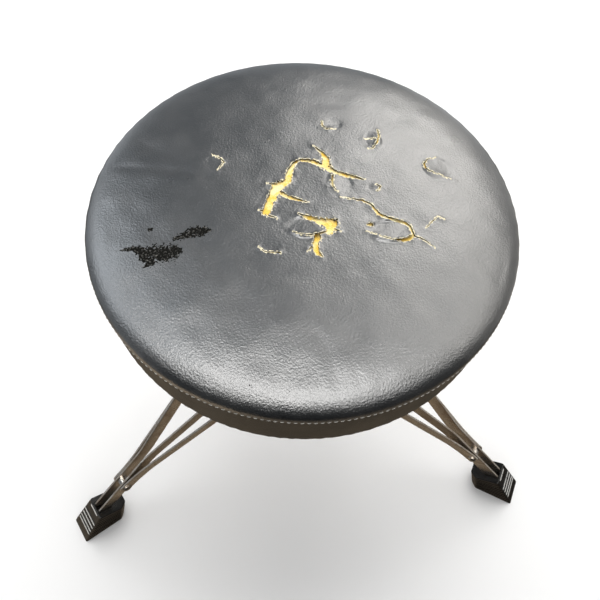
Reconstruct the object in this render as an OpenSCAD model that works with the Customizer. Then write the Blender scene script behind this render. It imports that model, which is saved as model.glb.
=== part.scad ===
// Double-braced folding drum throne with a round padded seat.
// Origin: on the centre tube's axis at floor level, +Z up, millimetres.
// The legs stand at 90, 210 and 330 degrees. The seat is at its lowest setting.

/* [Seat] */
// Radius of the round seat
seat_r = 165; // [150:1:180]
// Height of the seat's crown above the floor
seat_h = 450; // [450:1:458]
// Height of the crown above the seam
crown_h = 23.5; // [18:0.5:26]
// Height of the side band, from the seam down to its folded edge
band_h = 46; // [40:0.5:46]
// Thickness of the vinyl
vinyl_t = 1.2; // [0.8:0.1:1.6]
// Thickness of the plywood board
board_t = 12; // [9:1:15]

/* [Seat socket] */
// Radius of the socket's mounting plate
plate_r = 58; // [52:1:70]
// Thickness of the mounting plate
plate_t = 4; // [3:0.5:5]
// Outer radius of the socket boss
socket_r = 18; // [16:0.5:22]
// Radius of the circle that the plate bolts stand on
plate_bolt_pcr = 45; // [40:1:48]

/* [Post and tube] */
// Radius of the seat post
post_r = 11.1; // [10.5:0.1:11.2]
// Radius of the centre tube
tube_r = 14.3; // [14.3:0.1:15]
// Wall thickness of the post and of the tube
wall_t = 1.5; // [1.2:0.1:1.6]
// Height of the centre tube's lower end
tube_z = 130; // [110:1:160]
// Height travel of the post
travel = 150; // [100:5:150]

/* [Leg collar and brace hub] */
// Outer radius of both castings
casting_r = 22; // [20:0.5:23]
// Distance of the leg pivots from the axis
leg_pivot_r = 44; // [44:0.5:46]
// Height of the leg pivots
leg_pivot_z = 286; // [285:0.5:287]
// Distance of the brace pivots from the axis
brace_pivot_r = 28; // [27:0.5:28]
// Height of the brace pivots with the legs open
brace_pivot_z = 260; // [258:0.5:260]

/* [Legs and braces] */
// Width of the straps
strap_w = 17; // [14:0.5:17]
// Thickness of the straps
strap_t = 2.5; // [2:0.1:2.5]
// Distance of the rivet above the foot from the axis
rivet_r = 248; // [240:1:252]
// Height of that rivet
rivet_z = 82; // [80:1:86]
// Half of the leg straps' spread at the widest point of their bow
leg_bow = 20; // [16:0.5:20]
// Half of the brace straps' spread at the widest point of their bow
brace_bow = 29; // [28:0.5:32]

/* [Rubber feet] */
// Width of a foot on the floor
foot_w = 33; // [30:1:38]
// Width of a foot across its top
foot_top_w = 28; // [22:1:30]

/* [Hidden] */
$fn = 64;

// Directions, in degrees about Z
rear = 90;
left = 210;
right = 330;
height_bolt_dir = 30;
hub_bolt_dir = 150;
socket_bolt_dir = 150;
memory_screw_dir = 270;

// Clearances
fit = 0.05;
gap = 0.35;
eps = 0.01;

// Heights in the seat
seam_z = seat_h - crown_h;
band_z = seam_z - band_h;
board_z = band_z + vinyl_t + 0.3;
board_r = seat_r - 4;
hem_r = seat_r - 26;
foam_z = board_z + board_t + 0.6;
foam_r = seat_r - 1 - vinyl_t - gap;
staple_count = 24;
staple_ring_r = hem_r + 7;

// Socket, post and tube heights
plate_z = board_z - plate_t;
socket_z = 346;
socket_bolt_z = 360;
post_top_z = plate_z - 1;
tube_top_z = 329;
collar_top_z = tube_top_z + 2;
post_z = tube_z + 7;
bush_z = post_z + 12 + travel + 2;
lock_z = collar_top_z + 0.3;
lock_h = 13;
lock_r = 18;
lock_screw_r = lock_r + 3.2;

// Castings
collar_z = leg_pivot_z + 1.5;
leg_lug_half = 10.8;
leg_boss_r = 8;
height_bolt_z = 318;
hub_top_z = brace_pivot_z + 6.5;
hub_h = 34.5;
hub_z = hub_top_z - hub_h;
hub_bolt_z = hub_z + 11;
brace_lug_half = 17;
brace_boss_r = 6.5;
clamp_boss_r = 7;
clamp_boss_end = 27;

// Pins, rivets and wing bolts
pin_r = 3;
head_r = 5.5;
head_h = 2.5;
bolt_r = 4;
m6_r = 3;

// Side view of a leg: the strap runs from its pivot through the rivet into the foot
leg_drop = atan((leg_pivot_z - rivet_z) / (rivet_r - leg_pivot_r));
leg_len = norm([rivet_r - leg_pivot_r, leg_pivot_z - rivet_z]);
leg_end = leg_len + 62;
brace_drop = atan((brace_pivot_z - rivet_z) / (rivet_r - brace_pivot_r));
brace_len = norm([rivet_r - brace_pivot_r, brace_pivot_z - rivet_z]);

// Plan view of the straps: distance along the strap and distance from its mid-plane
leg_lug_y = leg_lug_half + gap + strap_t / 2;
leg_foot_y = 5;
brace_lug_y = brace_lug_half + gap + strap_t / 2;
brace_foot_y = leg_foot_y + strap_t + 0.4;
leg_lane = [
    [-strap_w / 2, leg_lug_y], [25, leg_lug_y], [100, leg_bow],
    [leg_len - 58, leg_foot_y], [leg_end, leg_foot_y]
];
brace_lane = [
    [-strap_w / 2, brace_lug_y], [40, brace_lug_y], [112, brace_bow],
    [brace_len - 40, leg_foot_y + 2 * strap_t], [brace_len - 12, brace_foot_y],
    [brace_len + strap_w / 2, brace_foot_y]
];
bend_len = 9;
bend_steps = 5;

// Side view of a foot: distance from the axis and height of its four corners
foot_heel = [275, 0];
foot_toe = [331, 0];
foot_top_toe = [295, 50];
foot_top_heel = [264, 29];
foot_rib_count = 4;

// ---- shared functions and shapes ----

// Unit vector from a to b
function unit(a, b) = (b - a) / norm(b - a);

// The path with each inner corner replaced by a short curve
function rounded(path) = [
    path[0],
    for (i = [1 : len(path) - 2])
        let (p = path[i],
             a = p + unit(p, path[i - 1]) * bend_len,
             b = p + unit(p, path[i + 1]) * bend_len)
            for (k = [0 : bend_steps])
                let (t = k / bend_steps)
                    (1 - t) * (1 - t) * a + 2 * t * (1 - t) * p + t * t * b,
    path[len(path) - 1]
];

// Normal of a path at point i
function normal(path, i) =
    let (d = unit(path[max(i - 1, 0)], path[min(i + 1, len(path) - 1)]))
        [-d[1], d[0]];

// Closed outline of a strip of thickness t that follows a path
function strip(path, t) = [
    for (i = [0 : len(path) - 1]) path[i] + normal(path, i) * t / 2,
    for (i = [len(path) - 1 : -1 : 0]) path[i] - normal(path, i) * t / 2
];

// Outer height of the seat's crown at radius r, above the seam, for a crown of height h
function crown(r, radius, h) = h * pow(max(1 - pow(r / radius, 2.6), 0), 1 / 2.6);

// Crown outline from the axis to the rim
function crown_line(radius, h, z) = [
    for (k = [0 : 24])
        let (r = radius * sin(k * 3.75))
            [r, z + crown(r, radius, h)]
];

module tube(r_out, r_in, z, h) {
    translate([0, 0, z])
        difference() {
            cylinder(r = r_out, h = h);
            translate([0, 0, -1])
                cylinder(r = r_in, h = h + 2);
        }
}

// Cylinder along the local Y axis, centred on it
module cross_pin(r, length) {
    rotate([90, 0, 0])
        cylinder(r = r, h = length, center = true);
}

// Places children with X pointing outward at height z
module facing(dir, z) {
    rotate([0, 0, dir])
        translate([0, 0, z])
            children();
}

// Puts children in a leg strap's frame: X runs from the pivot down towards the foot
module on_leg(dir) {
    facing(dir, leg_pivot_z)
        translate([leg_pivot_r, 0, 0])
            rotate([0, leg_drop, 0])
                children();
}

module on_brace(dir) {
    facing(dir, brace_pivot_z)
        translate([brace_pivot_r, 0, 0])
            rotate([0, brace_drop, 0])
                children();
}

// Rivet head on the local Y axis, its flat side at y
module rivet_head(y, side) {
    translate([0, side * y, 0])
        rotate([-side * 90, 0, 0]) {
            cylinder(r = head_r, h = head_h * 0.45);
            translate([0, 0, head_h * 0.45])
                cylinder(r1 = head_r, r2 = head_r * 0.55, h = head_h * 0.55, $fn = 48);
        }
}

// Wing bolt along X: its tip at tip, its wings' hub from seat outward
module wing_bolt(tip, seat) {
    wing_t = 4;
    hub_len = 9;
    translate([tip, 0, 0])
        rotate([0, 90, 0])
            cylinder(r = bolt_r, h = seat - tip + 1);
    translate([seat, 0, 0])
        rotate([0, 90, 0])
            cylinder(r = 6.5, h = hub_len);
    for (side = [-1, 1])
        rotate([90, 0, 0])
            linear_extrude(wing_t, center = true)
                union() {
                    polygon([
                        [seat + 1, side * 3], [seat + 6, side * 8],
                        [seat + 14, side * 7], [seat + hub_len - 1, side * 3]
                    ]);
                    translate([seat + 10, side * 8.5])
                        circle(r = 4.5);
                }
}

// ---- seat ----

module cover_top() {
    inner_r = seat_r - vinyl_t;
    outer = crown_line(seat_r, crown_h, seam_z);
    inner = crown_line(inner_r, crown_h - vinyl_t, seam_z);
    color([0.16, 0.18, 0.21])
        rotate_extrude($fn = 128)
            polygon([for (p = outer) p, for (i = [len(inner) - 1 : -1 : 0]) inner[i]]);
}

module cover_side() {
    band_r = seat_r - 0.7;
    color([0.22, 0.20, 0.17])
        rotate_extrude($fn = 128)
            polygon([
                [band_r, seam_z - gap], [band_r, band_z + 2.5], [band_r - 2.5, band_z],
                [hem_r, band_z], [hem_r, band_z + vinyl_t],
                [band_r - 3, band_z + vinyl_t], [band_r - vinyl_t, band_z + 3],
                [band_r - vinyl_t, seam_z - gap]
            ]);
}

module foam_pad() {
    rise = crown_h - vinyl_t - gap;
    top = crown_line(foam_r, rise, seam_z);
    color([0.88, 0.70, 0.30])
        rotate_extrude($fn = 96)
            polygon([for (p = top) p, [foam_r, foam_z], [0, foam_z]]);
}

module seat_board() {
    color([0.72, 0.58, 0.40])
        difference() {
            translate([0, 0, board_z])
                cylinder(r = board_r, h = board_t, $fn = 96);
            for (k = [0 : 3])
                rotate([0, 0, 45 + 90 * k])
                    translate([plate_bolt_pcr, 0, board_z - 1]) {
                        cylinder(r = 4.5, h = board_t + 2);
                        translate([0, 0, board_t - 0.4])
                            cylinder(r = 10, h = 2);
                    }
        }
}

module hem_staples() {
    color([0.70, 0.70, 0.72])
        for (k = [0 : staple_count - 1])
            rotate([0, 0, k * 360 / staple_count])
                translate([staple_ring_r, 0, band_z - 0.4])
                    cube([1.2, 11, 0.7], center = true);
}

module t_nuts() {
    flange_z = board_z + board_t - 1.3;
    color([0.75, 0.75, 0.72])
        for (k = [0 : 3])
            rotate([0, 0, 45 + 90 * k])
                translate([plate_bolt_pcr, 0, 0])
                    difference() {
                        union() {
                            translate([0, 0, flange_z])
                                cylinder(r = 9.5, h = 1.2);
                            translate([0, 0, board_z + 3])
                                cylinder(r = 4.3, h = flange_z - board_z - 2);
                        }
                        translate([0, 0, board_z])
                            cylinder(r = m6_r + fit, h = board_t + 2);
                    }
}

module seat_socket() {
    rib_t = 4;
    rib_reach = plate_r - 12;
    color([0.62, 0.62, 0.64])
        difference() {
            union() {
                translate([0, 0, plate_z])
                    cylinder(r = plate_r, h = plate_t - 0.1, $fn = 96);
                translate([0, 0, socket_z])
                    cylinder(r = socket_r, h = plate_z - socket_z + 1);
                for (k = [0 : 3])
                    rotate([90, 0, 90 * k])
                        translate([0, 0, -rib_t / 2])
                            linear_extrude(rib_t)
                                polygon([
                                    [socket_r - 2, socket_z + 8], [socket_r - 2, plate_z + 1],
                                    [rib_reach, plate_z + 1], [rib_reach, plate_z - 1]
                                ]);
                facing(socket_bolt_dir, socket_bolt_z)
                    rotate([0, 90, 0])
                        cylinder(r = clamp_boss_r, h = clamp_boss_end - 1);
            }
            translate([0, 0, socket_z - 1])
                cylinder(r = post_r + fit, h = plate_z - socket_z + 1);
            facing(socket_bolt_dir, socket_bolt_z)
                rotate([0, 90, 0])
                    cylinder(r = bolt_r + fit, h = clamp_boss_end + 4);
            for (k = [0 : 3])
                rotate([0, 0, 45 + 90 * k])
                    translate([plate_bolt_pcr, 0, plate_z - 1])
                        cylinder(r = m6_r + 0.3, h = plate_t + 2);
        }
}

module socket_bolts() {
    head_z = plate_z - 4.3;
    color([0.75, 0.75, 0.76])
        for (k = [0 : 3])
            rotate([0, 0, 45 + 90 * k])
                translate([plate_bolt_pcr, 0, head_z]) {
                    cylinder(r = 5.8, h = 4.2, $fn = 6);
                    cylinder(r = m6_r, h = 4.3 + plate_t + board_t - 3);
                }
}

module socket_wing_bolt() {
    color([0.80, 0.80, 0.82])
        facing(socket_bolt_dir, socket_bolt_z)
            wing_bolt(post_r + gap, clamp_boss_end);
}

// ---- post and height setting ----

module seat_post() {
    color([0.82, 0.82, 0.84])
        tube(post_r, post_r - wall_t, post_z, post_top_z - post_z);
}

module post_glide() {
    color([0.92, 0.92, 0.90])
        tube(tube_r - wall_t - 0.1, post_r + fit, post_z, 12);
}

module memory_lock() {
    ear = [10, 12, lock_h];
    color([0.78, 0.78, 0.80])
        difference() {
            union() {
                translate([0, 0, lock_z])
                    cylinder(r = lock_r, h = lock_h);
                facing(memory_screw_dir, lock_z)
                    translate([lock_r - 3, -ear[1] / 2, 0])
                        cube(ear);
            }
            translate([0, 0, lock_z - 1])
                cylinder(r = post_r + fit, h = lock_h + 2);
            facing(memory_screw_dir, lock_z - 1)
                translate([0, -1, 0])
                    cube([lock_r + 10, 2, lock_h + 2]);
            facing(memory_screw_dir, lock_z + lock_h / 2)
                translate([lock_screw_r, 0, 0])
                    cross_pin(2.5 + fit, 20);
        }
}

module memory_lock_screw() {
    color([0.70, 0.70, 0.72])
        facing(memory_screw_dir, lock_z + lock_h / 2)
            translate([lock_screw_r, 0, 0]) {
                translate([0, 1, 0])
                    cross_pin(2.5, 13);
                translate([0, 7.1, 0])
                    rotate([-90, 0, 0])
                        cylinder(r = 4.2, h = 1.6);
                translate([-2.6, 8, -2.6])
                    cube([5.2, 7, 5.2]);
            }
}

// ---- centre tube and castings ----

module centre_tube() {
    color([0.80, 0.80, 0.82])
        difference() {
            tube(tube_r, tube_r - wall_t, tube_z, tube_top_z - tube_z);
            facing(height_bolt_dir, height_bolt_z)
                translate([post_r, 0, 0])
                    rotate([0, 90, 0])
                        cylinder(r = bolt_r + 0.6, h = 6);
        }
}

module tube_bush() {
    color([0.15, 0.15, 0.16])
        difference() {
            union() {
                tube(tube_r - wall_t - fit, post_r + 0.08, bush_z, collar_top_z - bush_z);
                tube(tube_r - fit, post_r + 0.08, tube_top_z + fit, collar_top_z - tube_top_z - fit);
            }
            facing(height_bolt_dir, height_bolt_z)
                translate([post_r - 1, 0, 0])
                    rotate([0, 90, 0])
                        cylinder(r = bolt_r + 0.6, h = 6);
        }
}

module tube_cap() {
    color([0.12, 0.12, 0.13]) {
        translate([0, 0, tube_z - 3])
            cylinder(r = tube_r + 0.8, h = 3 - fit);
        tube(tube_r - wall_t - fit, tube_r - wall_t - 2, tube_z - 0.5, 6);
    }
}

module leg_lug() {
    boss = [leg_pivot_r, leg_pivot_z];
    rotate([90, 0, 0])
        linear_extrude(2 * leg_lug_half, center = true)
            union() {
                translate(boss)
                    circle(r = leg_boss_r);
                polygon([
                    [casting_r - 5, collar_z], [boss[0] - 7.7, collar_z], boss,
                    boss + leg_boss_r * [cos(50), sin(50)], [casting_r - 5, collar_z + 28]
                ]);
            }
}

module leg_collar() {
    color([0.70, 0.70, 0.72])
        difference() {
            union() {
                translate([0, 0, collar_z])
                    cylinder(r = casting_r, h = collar_top_z - collar_z, $fn = 96);
                for (dir = [rear, left, right])
                    rotate([0, 0, dir])
                        leg_lug();
                facing(height_bolt_dir, height_bolt_z)
                    rotate([0, 90, 0])
                        cylinder(r = clamp_boss_r, h = clamp_boss_end);
            }
            translate([0, 0, collar_z - 12])
                cylinder(r = tube_r + fit, h = 80);
            facing(height_bolt_dir, height_bolt_z)
                rotate([0, 90, 0])
                    cylinder(r = bolt_r + fit, h = clamp_boss_end + 4);
            for (dir = [rear, left, right]) {
                rotate([0, 0, dir])
                    translate([leg_pivot_r, 0, leg_pivot_z])
                        cross_pin(pin_r + fit, 3 * leg_lug_half);
                facing(dir + 60, collar_z + 8)
                    rotate([0, 90, 0])
                        cylinder(r = m6_r + fit, h = casting_r + 4);
            }
        }
}

module collar_grub_screws() {
    socket_depth = 2.5;
    color([0.20, 0.20, 0.21])
        for (dir = [rear, left, right])
            facing(dir + 60, collar_z + 8)
                rotate([0, 90, 0])
                    difference() {
                        translate([0, 0, tube_r + fit])
                            cylinder(r = m6_r, h = casting_r - tube_r - 1);
                        translate([0, 0, casting_r - 1 - socket_depth])
                            cylinder(r = 1.7, h = socket_depth + 1, $fn = 6);
                    }
}

module height_wing_bolt() {
    color([0.80, 0.80, 0.82])
        facing(height_bolt_dir, height_bolt_z)
            wing_bolt(post_r + gap, clamp_boss_end + gap);
}

module brace_lug() {
    boss = [brace_pivot_r, brace_pivot_z];
    rotate([90, 0, 0])
        linear_extrude(2 * brace_lug_half, center = true)
            union() {
                translate(boss)
                    circle(r = brace_boss_r);
                polygon([
                    [casting_r - 12, hub_z + 12], boss + brace_boss_r * [cos(-40), sin(-40)],
                    boss, [boss[0], hub_top_z], [casting_r - 12, hub_top_z]
                ]);
            }
}

module brace_hub() {
    color([0.70, 0.70, 0.72])
        difference() {
            union() {
                translate([0, 0, hub_z])
                    cylinder(r = casting_r, h = hub_h, $fn = 96);
                for (dir = [rear, left, right])
                    rotate([0, 0, dir])
                        brace_lug();
                facing(hub_bolt_dir, hub_bolt_z)
                    rotate([0, 90, 0])
                        cylinder(r = clamp_boss_r, h = clamp_boss_end);
            }
            translate([0, 0, hub_z - 1])
                cylinder(r = tube_r + 0.08, h = hub_h + 2);
            facing(hub_bolt_dir, hub_bolt_z)
                rotate([0, 90, 0])
                    cylinder(r = bolt_r + fit, h = clamp_boss_end + 4);
            for (dir = [rear, left, right])
                rotate([0, 0, dir])
                    translate([brace_pivot_r, 0, brace_pivot_z])
                        cross_pin(pin_r + fit, 3 * brace_lug_half);
        }
}

module hub_wing_bolt() {
    color([0.80, 0.80, 0.82])
        facing(hub_bolt_dir, hub_bolt_z)
            wing_bolt(tube_r + gap, clamp_boss_end + gap);
}

module hub_stop_ring() {
    color([0.60, 0.60, 0.62])
        tube(casting_r - 3, tube_r + fit, hub_z - 7.5, 7);
}

// ---- legs and braces ----

// One strap in its own frame, on the side given by side = 1 or -1
module strap(lane, from, to, round_end, holes, side) {
    outline = strip(rounded(lane), strap_t);
    difference() {
        intersection() {
            translate([0, 0, -strap_w / 2])
                linear_extrude(strap_w)
                    polygon([for (p = outline) [p[0], side * p[1]]]);
            rotate([90, 0, 0])
                linear_extrude(3 * brace_bow, center = true)
                    union() {
                        circle(r = strap_w / 2);
                        translate([from, -strap_w / 2])
                            square([to - from, strap_w]);
                        if (round_end)
                            translate([to, 0])
                                circle(r = strap_w / 2);
                    }
        }
        for (x = holes)
            translate([x, 0, 0])
                cross_pin(pin_r + fit, 3 * brace_bow);
    }
}

module leg_strap(dir, side) {
    color([0.55, 0.50, 0.45])
        on_leg(dir)
            strap(leg_lane, 0, leg_end - eps, false, [0, leg_len], side);
}

module brace_strap(dir, side) {
    color([0.50, 0.46, 0.42])
        on_brace(dir)
            strap(brace_lane, 0, brace_len, true, [0, brace_len], side);
}

module leg_pin(dir) {
    outer = leg_lug_y + strap_t / 2 + 0.1;
    color([0.75, 0.75, 0.77])
        on_leg(dir) {
            cross_pin(pin_r, 2 * outer + 0.4);
            for (side = [-1, 1])
                rivet_head(outer, side);
        }
}

module brace_pin(dir) {
    outer = brace_lug_y + strap_t / 2 + 0.1;
    color([0.75, 0.75, 0.77])
        on_brace(dir) {
            cross_pin(pin_r, 2 * outer + 0.4);
            for (side = [-1, 1])
                rivet_head(outer, side);
        }
}

module leg_spacer(dir) {
    half = leg_foot_y - strap_t / 2 - fit;
    color([0.72, 0.72, 0.74])
        on_leg(dir)
            translate([leg_len, 0, 0])
                difference() {
                    cross_pin(6, 2 * half);
                    cross_pin(pin_r + fit, 3 * half);
                }
}

module leg_rivet(dir) {
    half = leg_foot_y + strap_t / 2;
    color([0.75, 0.75, 0.77])
        on_leg(dir)
            translate([leg_len, 0, 0])
                cross_pin(pin_r, 2 * half);
}

// The rivet's two ends beyond the leg straps, which turn with the brace
module brace_rivets(dir) {
    inner = brace_foot_y - strap_t / 2;
    outer = brace_foot_y + strap_t / 2 + 0.1;
    color([0.75, 0.75, 0.77])
        on_brace(dir)
            translate([brace_len, 0, 0])
                for (side = [-1, 1]) {
                    translate([0, side * (inner + outer) / 2, 0])
                        cross_pin(pin_r, outer - inner + 0.2);
                    rivet_head(outer, side);
                }
}

// Outline of a foot's level slice: chamfered at the heel
module foot_slice(heel, toe, width) {
    chamfer = 7;
    half = width / 2;
    polygon([
        [heel, -half + chamfer], [heel + chamfer, -half], [toe, -half],
        [toe, half], [heel + chamfer, half], [heel, half - chamfer]
    ]);
}

module foot(dir) {
    top_len = norm(foot_top_toe - foot_top_heel);
    top_tilt = atan((foot_top_toe[1] - foot_top_heel[1]) / (foot_top_toe[0] - foot_top_heel[0]));
    face = foot_toe - foot_top_toe;
    face_tilt = atan(face[1] / face[0]);
    pocket = leg_foot_y + strap_t / 2 + gap;
    color([0.07, 0.07, 0.08]) {
        facing(dir, 0)
            difference() {
                hull() {
                    linear_extrude(1)
                        foot_slice(foot_heel[0], foot_toe[0], foot_w);
                    translate([foot_top_heel[0], 0, foot_top_heel[1]])
                        rotate([0, -top_tilt, 0])
                            translate([0, 0, -1])
                                linear_extrude(1)
                                    foot_slice(0, top_len, foot_top_w);
                }
                translate([leg_pivot_r, 0, leg_pivot_z])
                    rotate([0, leg_drop, 0])
                        translate([leg_end - 40, -pocket, -strap_w / 2 - gap])
                            cube([40 + gap, 2 * pocket, strap_w + 2 * gap]);
            }
        facing(dir, 0)
            for (k = [0 : foot_rib_count - 1])
                translate([foot_top_toe[0], 0, foot_top_toe[1]])
                    rotate([0, -face_tilt, 0])
                        translate([20 + 5 * k, 0, 0])
                            cube([2, foot_top_w - 4, 1.6], center = true);
    }
}

cover_top();
cover_side();
foam_pad();
seat_board();
hem_staples();
t_nuts();
seat_socket();
socket_bolts();
socket_wing_bolt();
seat_post();
post_glide();
memory_lock();
memory_lock_screw();
centre_tube();
tube_bush();
tube_cap();
leg_collar();
collar_grub_screws();
height_wing_bolt();
brace_hub();
hub_wing_bolt();
hub_stop_ring();
leg_strap(rear, 1);  // rear_leg_strap_a
leg_strap(rear, -1);  // rear_leg_strap_b
leg_pin(rear);  // rear_leg_pin
leg_spacer(rear);  // rear_leg_spacer
leg_rivet(rear);  // rear_leg_rivet
foot(rear);  // rear_foot
leg_strap(left, 1);  // left_leg_strap_a
leg_strap(left, -1);  // left_leg_strap_b
leg_pin(left);  // left_leg_pin
leg_spacer(left);  // left_leg_spacer
leg_rivet(left);  // left_leg_rivet
foot(left);  // left_foot
leg_strap(right, 1);  // right_leg_strap_a
leg_strap(right, -1);  // right_leg_strap_b
leg_pin(right);  // right_leg_pin
leg_spacer(right);  // right_leg_spacer
leg_rivet(right);  // right_leg_rivet
foot(right);  // right_foot
brace_strap(rear, 1);  // rear_brace_strap_a
brace_strap(rear, -1);  // rear_brace_strap_b
brace_pin(rear);  // rear_brace_pin
brace_rivets(rear);  // rear_brace_rivets
brace_strap(left, 1);  // left_brace_strap_a
brace_strap(left, -1);  // left_brace_strap_b
brace_pin(left);  // left_brace_pin
brace_rivets(left);  // left_brace_rivets
brace_strap(right, 1);  // right_brace_strap_a
brace_strap(right, -1);  // right_brace_strap_b
brace_pin(right);  // right_brace_pin
brace_rivets(right);  // right_brace_rivets
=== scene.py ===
import math

import bpy
import numpy as np
from mathutils import Matrix, Vector
from mathutils.bvhtree import BVHTree
from mathutils.geometry import delaunay_2d_cdt


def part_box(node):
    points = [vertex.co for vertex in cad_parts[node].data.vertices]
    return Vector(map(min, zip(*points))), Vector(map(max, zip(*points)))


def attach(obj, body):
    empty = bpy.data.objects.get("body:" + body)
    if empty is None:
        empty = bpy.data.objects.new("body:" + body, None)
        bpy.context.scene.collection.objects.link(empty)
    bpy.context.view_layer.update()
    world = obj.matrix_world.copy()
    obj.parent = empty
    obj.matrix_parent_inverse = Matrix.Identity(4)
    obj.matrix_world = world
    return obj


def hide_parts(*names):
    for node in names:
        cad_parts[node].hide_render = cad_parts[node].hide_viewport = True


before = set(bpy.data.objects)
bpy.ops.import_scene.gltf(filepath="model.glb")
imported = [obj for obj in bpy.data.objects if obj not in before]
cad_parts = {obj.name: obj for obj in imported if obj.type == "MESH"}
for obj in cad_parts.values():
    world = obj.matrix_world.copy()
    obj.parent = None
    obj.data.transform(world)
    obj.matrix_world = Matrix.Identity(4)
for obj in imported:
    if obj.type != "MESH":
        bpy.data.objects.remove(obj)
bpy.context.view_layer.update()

# ---- sizes ----

MM = 0.001

top_low, top_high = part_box("cover_top")
side_low, side_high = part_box("cover_side")
foam_low, foam_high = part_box("foam_pad")
SEAT_R = top_high.x
SEAM_Z = top_low.z
CROWN_H = top_high.z - SEAM_Z
CROWN_POWER = 2.6       # as in the CAD's crown
BAND_R = side_high.x
BAND_Z = side_low.z
FOAM_R = foam_high.x
FOAM_Z = foam_low.z
VINYL_T = 1.2 * MM      # the CAD's vinyl
SLACK = 0.3 * MM        # gap between the vinyl and the foam
SHEET_T = 0.9 * MM      # thickness of the visible vinyl, a little less than the CAD's
HEM_R = 139 * MM        # inner edge of the side band's hem, under the board

FOAM_SWELL = 2.5 * MM
FOAM_SEGMENTS = 96
FOAM_VOXEL = 5 * MM
CLOTH_PRESSURE = 4
CLOTH_FRAMES = 20

TOP_SEGMENTS = 240      # points round the rim of the torn sheet
SIDE_SEGMENTS = 480     # points round the side band
STITCH_PITCH = 4.3 * MM
THREAD_R = 0.26 * MM

# The torn sheet's points, in millimetres: their spacings, how far from a split and from the residue
# the two closer ones are used, how near to a split's edge a point is moved onto it, and how near it
# counts as on it
FINE, MIDDLE, COARSE = 0.55, 1.3, 3.0
FINE_REACH, MIDDLE_REACH = 1.5, 7
SPOT_REACH, SPOT_MIDDLE_REACH = 1, 4
SNAP_REACH = 0.16
EDGE_SNAP = 0.05

# Plan of the splits in the vinyl, in millimetres from the seat's axis: x, y and the split's width
TEARS = [
    # long split: its wide leg, its arc, and its branches
    [(-30, -15, 4.5), (-26, -5, 5.3), (-20, 8, 6.8), (-12, 13, 4.2), (-10, 22, 3.8), (-6, 30, 2.1),
     (-3, 32, 1.5)],
    [(-1, 33, 1.8), (3, 32, 2.4), (8, 31, 3), (14, 27, 3.3), (18, 25, 5.2), (23, 20, 2.7),
     (37, 14, 2.7), (46, 11, 0.3)],
    [(18, 26, 5.5), (19, 33, 4.2), (16, 40, 1.8), (10, 47, 0.3)],
    [(-17, 1, 3), (-11, -3, 2.4), (-6, -5, 1.8), (1, -8, 0.3)],
    [(-22, 11, 1.2), (-28, 12, 0.3)],
    [(-31, -14, 1.5), (-35, -13, 0.3)],
    [(-28, -18, 1.2), (-22, -21, 0.3)],
    [(22, 16, 1.2), (21, 11, 1.4), (21, 5, 0.9), (24, 0, 0.3)],
    # split with a hanging flap in front of the centre
    [(-7, -18, 0.6), (0, -21, 2.1), (6, -24, 3.3), (12, -27, 6.1), (17, -28, 6.7)],
    [(15, -31, 5.2), (14, -35, 3.9)],
    [(17, -33, 1.5), (22, -35, 0.3)],
    [(5, -39, 3.9), (3, -44, 3.3), (3, -49, 3.3), (4, -52, 2.7), (7, -55, 0.6)],
    [(0, -47, 1.2), (-3, -50, 0.3)],
    [(-12, -33, 0.5), (-6, -36.5, 0.5), (1, -37.5, 0.8), (6, -37, 0.9), (11, -35, 0.8)],
    # split round the second flap, on the right
    [(26, -5, 0.3), (34, -7, 0.6), (41, -8, 1.2), (47, -12, 1.2), (52, -21, 2.4), (57, -24, 1.8),
     (70, -29, 1.2)],
    [(70, -29, 1.2), (73, -32, 1.5), (74, -41, 1.8), (71, -43, 2.4), (65, -45, 1.5), (58, -44, 0.6),
     (41, -36, 0.3)],
    [(74, -41, 0.9), (79, -43, 0.8), (88, -51, 0.3)],
    [(43, -30, 2.1), (45, -30, 2.1)],
    # small crescents and nicks
    [(64, 63, 0.6), (64, 56, 1.2), (61, 48, 1.2), (57, 43, 0.6), (53, 42, 0.3)],
    [(52, 53, 0.3), (60, 53, 0.6)],
    [(20, 74, 0.6), (20, 69, 0.8), (23, 65, 0.8), (30, 65, 0.3)],
    [(106, 33, 0.3), (99, 31, 0.5), (95, 26, 1.1), (95, 21, 1.2), (97, 18, 0.6), (113, 11, 0.3)],
    [(54, 6, 0.6), (57, 4, 0.8), (54, 0, 0.5)],
    [(100, -27, 0.3), (95, -25, 0.4), (90, -29, 0.5), (85, -34, 0.5)],
    [(-37, -43, 0.3), (-33, -48, 0.5), (-27, -49, 0.9), (-22, -50, 0.8)],
    [(-68, 44, 0.3), (-62, 39, 0.6), (-59, 35, 0.8), (-64, 28, 0.3)],
]

# Black residue stuck to the vinyl, and three pin holes near the front drawn as black dots of it,
# painted shade in place of the holes, as strokes in the same form
RESIDUE_AND_HOLE_SHADE = [
    [(-134, -36, 1.2), (-124, -36, 4), (-116, -41, 9), (-106, -43, 14), (-98, -43, 12),
     (-92, -42, 5)],
    [(-117, -45, 6), (-111, -49, 6), (-116, -52, 2)],
    [(-95, -32, 3.5), (-89, -29.5, 6), (-81, -27.5, 9), (-76, -27, 8), (-70, -27, 2)],
    [(-114, -22, 2.6), (-112, -21.5, 2.6)],
    [(-48, -141, 0.9), (-47.8, -141, 0.9)],
    [(-48, -145, 0.9), (-47.8, -145, 0.9)],
    [(-48, -149, 0.9), (-47.8, -149, 0.9)],
]

# Flaps of loose vinyl: centre x, y, half sizes and lift of the raised edge, in millimetres, and
# the direction of that edge, in degrees
FLAPS = [
    (-1, -29.5, 13, 8, 1.5, -90),
    (59, -36, 15.5, 8.5, 1.6, -80),
    (58, 51, 6, 8, 0.9, 10),
    (27, 70, 7, 5, 0.7, 200),
    (105, 22, 10, 9, 0.9, 190),
    (52, 4, 4.5, 4, 0.6, 0),
    (28, 8, 7, 8, 0.6, 180),
    (-66, 36, 6, 6, 0.5, 0),
]

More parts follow.
